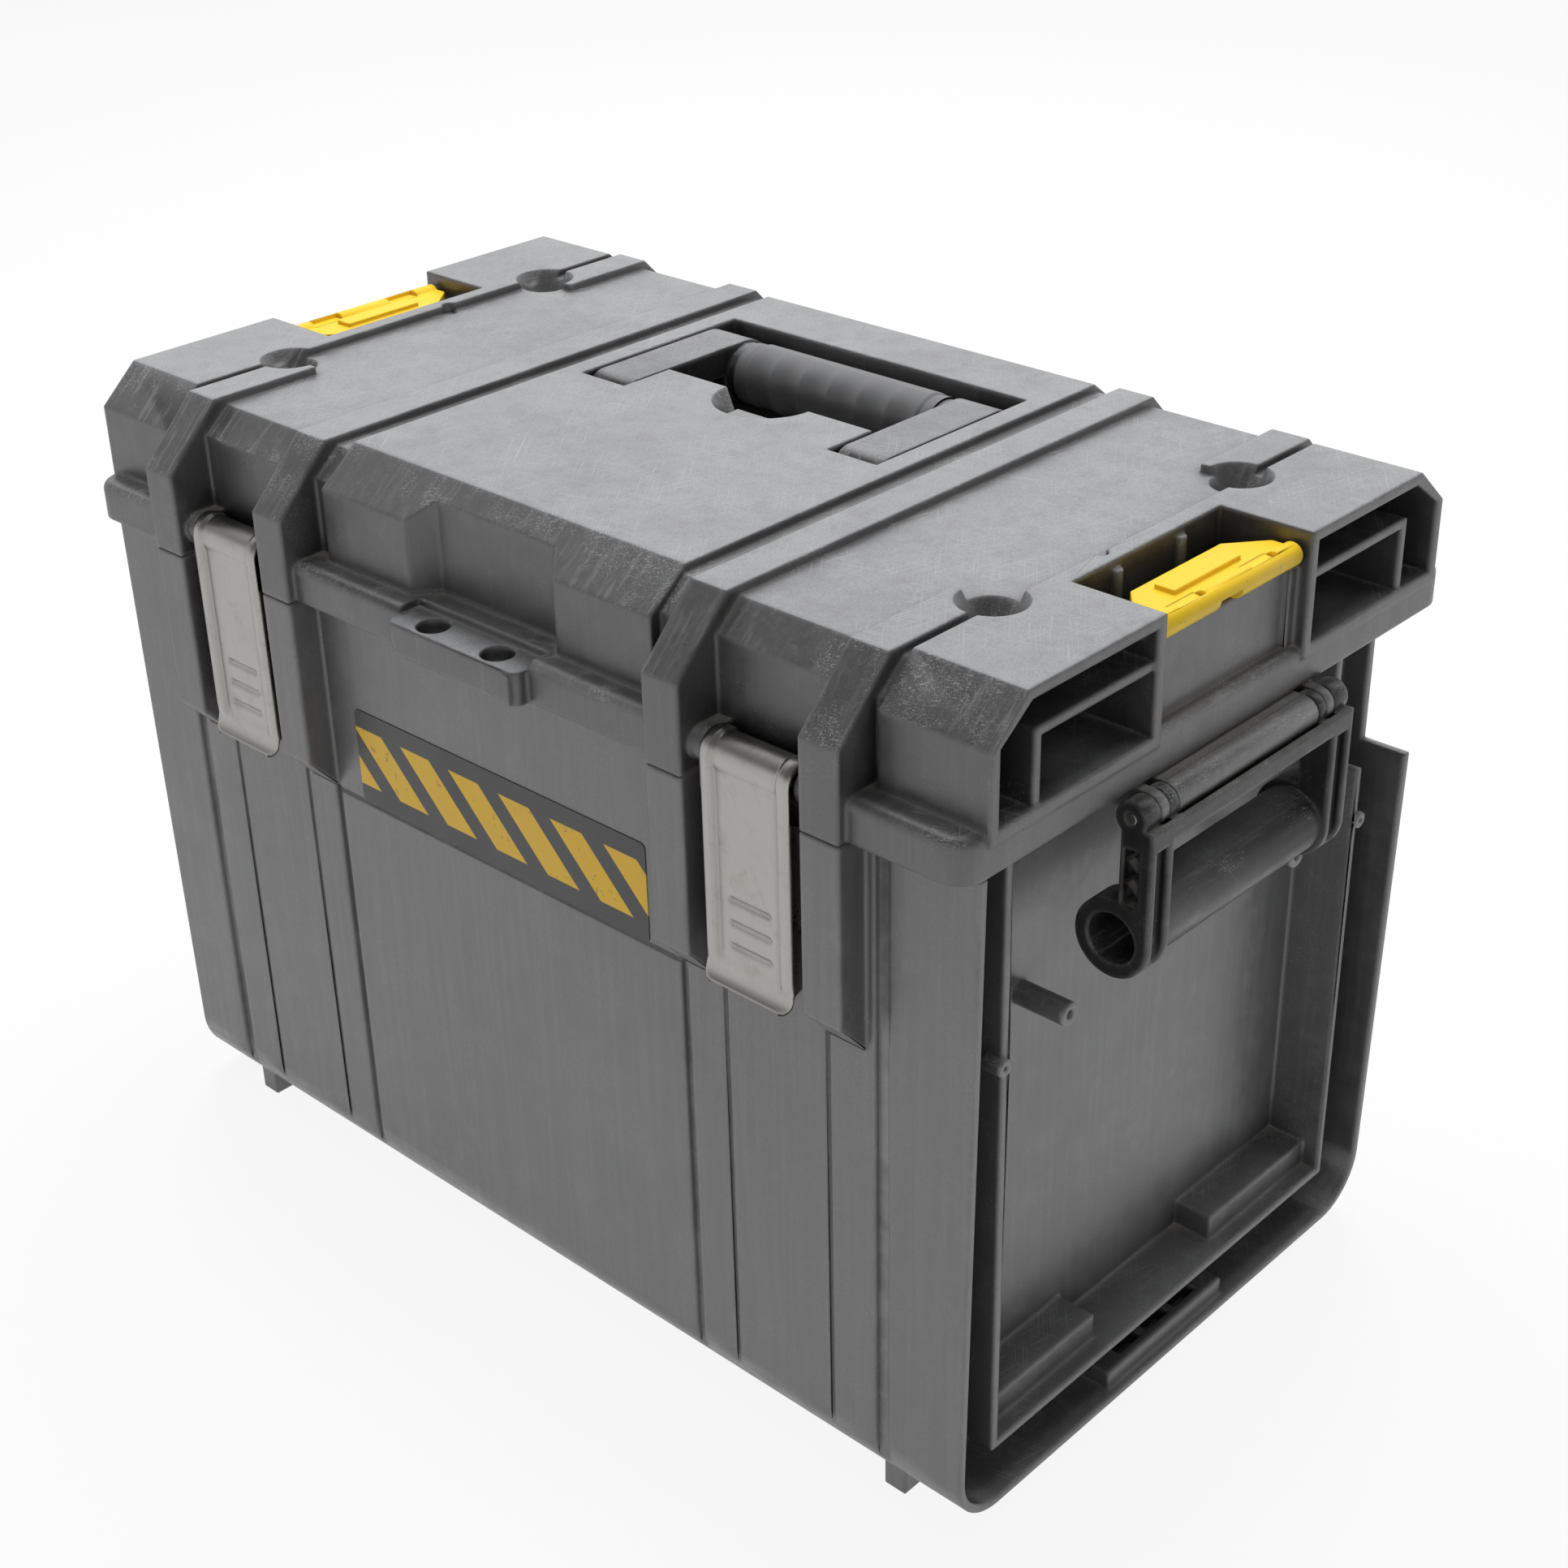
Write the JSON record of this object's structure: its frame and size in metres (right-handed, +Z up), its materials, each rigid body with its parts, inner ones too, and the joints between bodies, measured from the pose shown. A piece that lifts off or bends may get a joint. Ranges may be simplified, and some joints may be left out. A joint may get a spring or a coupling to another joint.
{
  "type": "tool box",
  "caption": "Large stackable moulded tool box with a hinged lid, steel draw latches, a folding top handle, bail end handles and stacking latches.",
  "frame": {"origin": "on the floor, under the middle of the box", "axes": "+X along the box to its right end, -Y towards the latch side, +Z up"},
  "size_m": [0.5846, 0.355, 0.408],
  "materials": {
    "shell": "textured moulded plastic, worn",
    "handle_plastic": "satin moulded plastic",
    "grip": "soft ribbed rubber",
    "seal": "smooth rubber",
    "latch_steel": "zinc plated, worn",
    "pin_steel": "zinc plated",
    "stack_latch": "bright moulded plastic",
    "label": "blank printed film"
  },
  "bodies": {
    "tub": {"tub": "shell", "name_label": "label", "hinge_pin_left": "pin_steel", "hinge_pin_right": "pin_steel", "side_handle_rod_left": "pin_steel", "side_handle_rod_right": "pin_steel"},
    "lid": {"lid": "shell", "lid_seal": "seal", "latch_pivot_pin_left": "pin_steel", "latch_pivot_pin_right": "pin_steel", "top_handle_pin_left": "pin_steel", "top_handle_pin_right": "pin_steel", "side_latch_pin_left": "pin_steel", "side_latch_pin_right": "pin_steel"},
    "latch_left": {"latch_plate_left": "latch_steel", "latch_catch_pin_left": "pin_steel"},
    "latch_right": {"latch_plate_right": "latch_steel", "latch_catch_pin_right": "pin_steel"},
    "top_handle": {"top_handle_frame": "handle_plastic", "top_handle_grip": "grip"},
    "side_handle_left": {"side_handle_left": "handle_plastic"},
    "side_handle_right": {"side_handle_right": "handle_plastic"},
    "side_latch_left": {"side_latch_left": "stack_latch"},
    "side_latch_right": {"side_latch_right": "stack_latch"}
  },
  "joints": [
    {"name": "lid_hinge", "type": "hinge", "parent": "tub", "child": "lid", "pos_m": [0, 0.1715, 0.33695], "axis": [-1, 0, 0], "range_deg": [0, 105]},
    {"name": "latch_left_hinge", "type": "hinge", "parent": "lid", "child": "latch_left", "pos_m": [-0.16825, -0.162, 0.3495], "axis": [-1, 0, 0], "range_deg": [0, 110]},
    {"name": "latch_right_hinge", "type": "hinge", "parent": "lid", "child": "latch_right", "pos_m": [0.16825, -0.162, 0.3495], "axis": [-1, 0, 0], "range_deg": [0, 110]},
    {"name": "top_handle_hinge", "type": "hinge", "parent": "lid", "child": "top_handle", "pos_m": [0, 0.0046, 0.3985], "axis": [1, 0, 0], "range_deg": [0, 90]},
    {"name": "side_handle_left_hinge", "type": "hinge", "parent": "tub", "child": "side_handle_left", "pos_m": [-0.2815, 0, 0.3285], "axis": [0, 1, 0], "range_deg": [0, 90]},
    {"name": "side_handle_right_hinge", "type": "hinge", "parent": "tub", "child": "side_handle_right", "pos_m": [0.2815, 0, 0.3285], "axis": [0, -1, 0], "range_deg": [0, 90]},
    {"name": "side_latch_left_hinge", "type": "hinge", "parent": "lid", "child": "side_latch_left", "pos_m": [-0.2708, 0, 0.3978], "axis": [0, -1, 0], "range_deg": [0, 95]},
    {"name": "side_latch_right_hinge", "type": "hinge", "parent": "lid", "child": "side_latch_right", "pos_m": [0.2708, 0, 0.3978], "axis": [0, 1, 0], "range_deg": [0, 95]}
  ]
}
